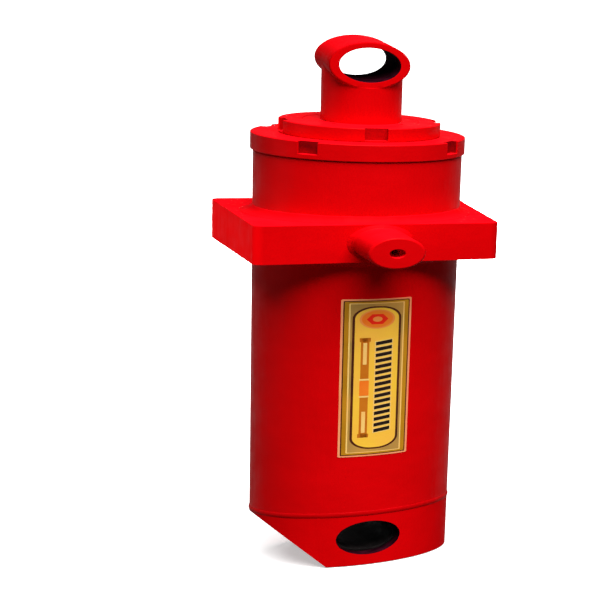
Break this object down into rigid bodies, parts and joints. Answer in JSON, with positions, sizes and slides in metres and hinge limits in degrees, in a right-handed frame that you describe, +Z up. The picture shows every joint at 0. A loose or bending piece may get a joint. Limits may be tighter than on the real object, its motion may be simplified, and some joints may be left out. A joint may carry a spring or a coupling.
{
  "type": "telescopic hydraulic cylinder",
  "caption": "Closed telescopic hydraulic cylinder with nested stages, a cross-bored rod eye, a trunnion block with side pins and a slant-cut, cross-bored base.",
  "frame": {"origin": "centre of the underside of the base, on the cylinder's own axis", "axes": "+Z up the axis, the way the stages extend; the trunnion pins and both eye bores lie along Y, with the oil port at -Y; the slanted cut of the base is at -X"},
  "size_m": [0.233, 0.38, 0.9195],
  "materials": {
    "red_paint": "gloss enamel",
    "label_foil": "gold printed foil",
    "hard_chrome": "ground and hard chromed",
    "bronze": "turned",
    "seal_rubber": "satin",
    "oiled_steel": "turned, oiled",
    "bush_steel": "bored, greased"
  },
  "bodies": {
    "barrel": {"base_block": "red_paint", "base_bush": "bush_steel", "base_weld": "red_paint", "barrel_tube": "red_paint", "trunnion_block": "red_paint", "trunnion_weld_upper": "red_paint", "trunnion_weld_lower": "red_paint", "trunnion_pin_front": "red_paint", "trunnion_pin_rear": "red_paint", "pin_weld_front": "red_paint", "pin_weld_rear": "red_paint", "barrel_gland_nut": "red_paint", "barrel_bearing": "bronze", "barrel_rod_seal": "seal_rubber", "barrel_wiper": "seal_rubber", "barrel_o_ring": "seal_rubber", "label_plate": "label_foil"},
    "stage_1": {"stage_1_tube": "hard_chrome", "stage_1_guide_ring": "bronze", "stage_1_stop_ring": "oiled_steel", "stage_1_snap_ring": "oiled_steel", "stage_1_floor_ring": "oiled_steel", "stage_1_gland_nut": "red_paint", "stage_1_bearing": "bronze", "stage_1_rod_seal": "seal_rubber", "stage_1_wiper": "seal_rubber", "stage_1_o_ring": "seal_rubber"},
    "stage_2": {"stage_2_tube": "hard_chrome", "stage_2_guide_ring": "bronze", "stage_2_stop_ring": "oiled_steel", "stage_2_snap_ring": "oiled_steel", "stage_2_floor_ring": "oiled_steel", "stage_2_gland_nut": "red_paint", "stage_2_bearing": "bronze", "stage_2_rod_seal": "seal_rubber", "stage_2_wiper": "seal_rubber", "stage_2_o_ring": "seal_rubber"},
    "plunger_guide": {"plunger_guide_ring": "bronze", "plunger_stop_ring": "oiled_steel"},
    "plunger": {"plunger_tube": "hard_chrome", "plunger_snap_ring": "oiled_steel", "plunger_foot": "oiled_steel", "plunger_head": "red_paint", "rod_eye": "red_paint"}
  },
  "joints": [
    {"name": "stage_1_slide", "type": "slide", "parent": "barrel", "child": "stage_1", "axis": [0, 0, 1], "range_m": [0, 0.5]},
    {"name": "stage_2_slide", "type": "slide", "parent": "stage_1", "child": "stage_2", "axis": [0, 0, 1], "range_m": [0, 0.5]},
    {"name": "plunger_slide", "type": "slide", "parent": "stage_2", "child": "plunger_guide", "axis": [0, 0, 1], "range_m": [0, 0.5]},
    {"name": "eye_swivel", "type": "hinge", "parent": "plunger_guide", "child": "plunger", "pos_m": [0, 0, 0.8814], "axis": [0, 0, 1], "continuous": true}
  ]
}
